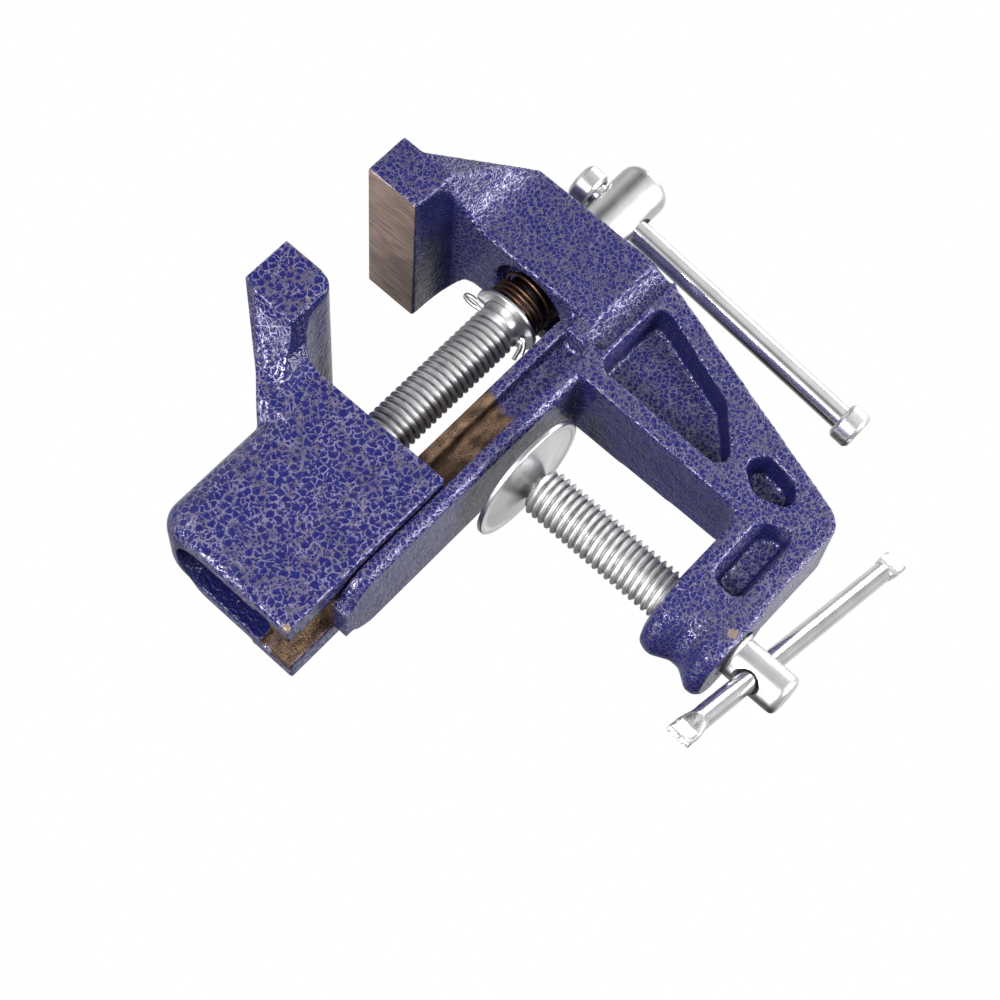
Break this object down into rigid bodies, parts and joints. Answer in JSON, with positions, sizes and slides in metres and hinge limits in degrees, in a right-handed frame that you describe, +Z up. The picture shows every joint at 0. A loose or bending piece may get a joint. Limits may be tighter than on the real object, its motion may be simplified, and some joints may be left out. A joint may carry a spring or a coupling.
{
  "type": "clamp-on table vise",
  "caption": "Small cast table vise with a sliding jaw, a screw spindle with a sliding handle, and a C-shaped clamp with a swivel pad for a table's edge.",
  "frame": {"origin": "where the clamp screw's axis meets the face that sits on the table top", "axes": "+X along the spindle towards its handle, +Z up from the table top to the jaws, Y across the jaws"},
  "size_m": [0.1618, 0.0687, 0.1645],
  "materials": {
    "casting_enamel": "hammered two-tone enamel, glossy",
    "plated_screw": "zinc plated, rolled thread",
    "plated_bar": "zinc plated, polished",
    "plated_pad": "zinc plated, pressed",
    "spring_wire": "bare spring steel, slightly brown"
  },
  "bodies": {
    "frame": {"frame_casting": "casting_enamel"},
    "sliding_jaw": {"sliding_jaw": "casting_enamel"},
    "spindle": {"main_screw": "plated_screw", "spindle_washer": "plated_screw", "split_pin": "plated_screw", "spindle_spring": "spring_wire"},
    "spindle_handle": {"handle_rod": "plated_bar", "handle_knob_upper": "plated_bar", "handle_knob_lower": "plated_bar"},
    "clamp_pad": {"clamp_pad": "plated_pad"},
    "clamp_screw": {"clamp_screw": "plated_screw"},
    "clamp_bar": {"clamp_bar": "plated_bar"}
  },
  "joints": [
    {"name": "jaw_slide", "type": "slide", "parent": "frame", "child": "sliding_jaw", "axis": [1, 0, 0], "range_m": [-0.015, 0.0291]},
    {"name": "spindle_turn", "type": "hinge", "parent": "frame", "child": "spindle", "pos_m": [0.0629, 0, 0.0288], "axis": [1, 0, 0], "range_deg": [-5230, 2690]},
    {"name": "handle_slide", "type": "slide", "parent": "spindle", "child": "spindle_handle", "axis": [0, -0.1392, 0.9903], "range_m": [-0.0002, 0.0724]},
    {"name": "clamp_slide", "type": "slide", "parent": "frame", "child": "clamp_pad", "axis": [0, 0, 1], "range_m": [-0.0435, 0.0018]},
    {"name": "clamp_turn", "type": "hinge", "parent": "clamp_pad", "child": "clamp_screw", "pos_m": [0, 0, -0.0737], "axis": [0, 0, 1], "range_deg": [-7800, 320]},
    {"name": "clamp_bar_slide", "type": "slide", "parent": "clamp_screw", "child": "clamp_bar", "axis": [0.8565, 0.5146, -0.0401], "range_m": [-0.058, 0.0205]}
  ],
  "couplings": [
    {"joint": "jaw_slide", "follows": "spindle_turn", "m_per_rad": -0.00031831},
    {"joint": "clamp_slide", "follows": "clamp_turn", "m_per_rad": 0.00031831}
  ]
}
